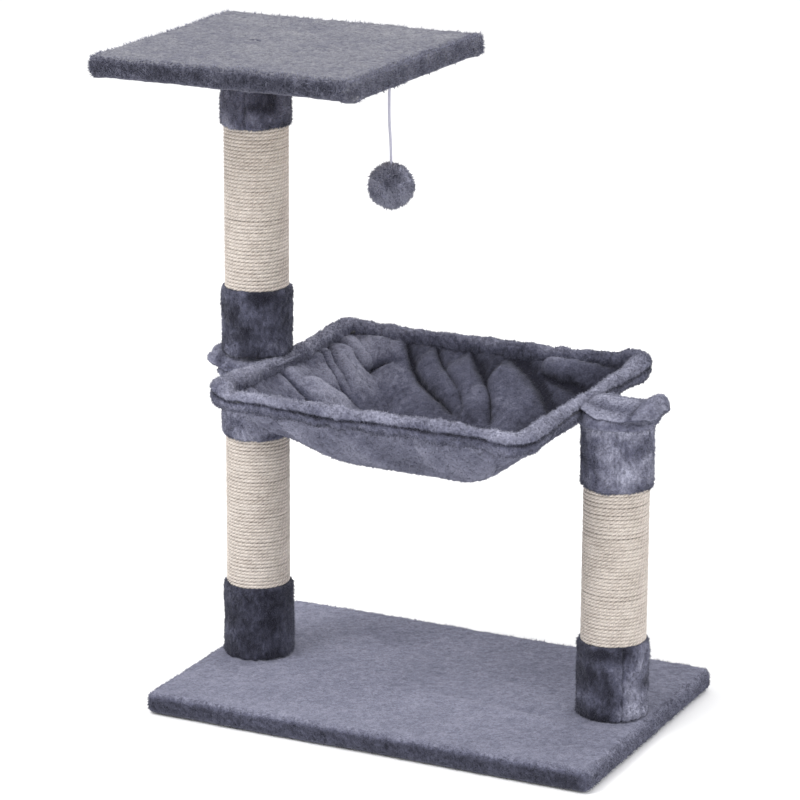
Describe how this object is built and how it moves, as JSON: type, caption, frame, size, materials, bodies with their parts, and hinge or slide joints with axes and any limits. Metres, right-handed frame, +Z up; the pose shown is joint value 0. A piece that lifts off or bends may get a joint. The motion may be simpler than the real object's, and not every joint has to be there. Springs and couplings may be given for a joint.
{
  "type": "cat tree",
  "caption": "Plush-covered cat tree with rope-wound posts, a slung plush hammock, a square lookout platform and a hanging pom-pom toy.",
  "frame": {"origin": "on the floor under the middle of the whole tree's outline; the base's middle is 30 mm along +X from it", "axes": "+Z up, +X from the tall post to the short post, +Y from the front long side of the base to the back one"},
  "size_m": [0.578, 0.335, 0.691],
  "materials": {
    "plush": "short pile plush, matt",
    "plush_cuff": "short pile plush, matt, brushed across",
    "sisal": "twisted natural sisal rope",
    "board": "raw particle board",
    "tube": "spiral-wound paper tube",
    "plug": "raw turned plug",
    "insert": "zinc plated",
    "zinc": "zinc plated",
    "staple_wire": "galvanised",
    "frame_wire": "satin",
    "cord": "thin twisted cord",
    "pompom": "cut plush, fluffy"
  },
  "bodies": {
    "tree": {"base_board": "board", "base_bolts": "zinc", "base_cover": "plush", "base_staples": "staple_wire", "base_washers": "zinc", "hammock_bag": "plush", "hammock_bolt": "zinc", "hammock_frame": "frame_wire", "hammock_left_tab": "plush", "hammock_right_tab": "plush", "hammock_washer": "zinc", "joining_stud": "zinc", "lower_left_post_foot_cuff": "plush_cuff", "lower_left_post_foot_plug": "plug", "lower_left_post_inserts": "insert", "lower_left_post_sisal": "sisal", "lower_left_post_top_cuff": "plush_cuff", "lower_left_post_top_plug": "plug", "lower_left_post_tube": "tube", "platform_board": "board", "platform_bolt": "zinc", "platform_cover": "plush", "platform_staples": "staple_wire", "platform_washer": "zinc", "right_post_foot_cuff": "plush_cuff", "right_post_foot_plug": "plug", "right_post_inserts": "insert", "right_post_sisal": "sisal", "right_post_top_cuff": "plush_cuff", "right_post_top_plug": "plug", "right_post_tube": "tube", "toy_staple": "staple_wire", "upper_left_post_foot_cuff": "plush_cuff", "upper_left_post_foot_plug": "plug", "upper_left_post_inserts": "insert", "upper_left_post_sisal": "sisal", "upper_left_post_top_cuff": "plush_cuff", "upper_left_post_top_plug": "plug", "upper_left_post_tube": "tube"},
    "toy_loop": {"toy_cord_loop": "cord"},
    "toy": {"toy_top_knot": "cord", "toy_cord": "cord", "toy_end_knot": "cord", "toy_pompom": "pompom"}
  },
  "joints": [
    {"name": "toy_swing_lengthways", "type": "hinge", "parent": "tree", "child": "toy_loop", "pos_m": [-0.024, 0.003, 0.6618], "axis": [0, 1, 0], "range_deg": [-50, 50]},
    {"name": "toy_swing_sideways", "type": "hinge", "parent": "toy_loop", "child": "toy", "pos_m": [-0.024, 0.003, 0.6592], "axis": [1, 0, 0], "range_deg": [-60, 60]}
  ]
}
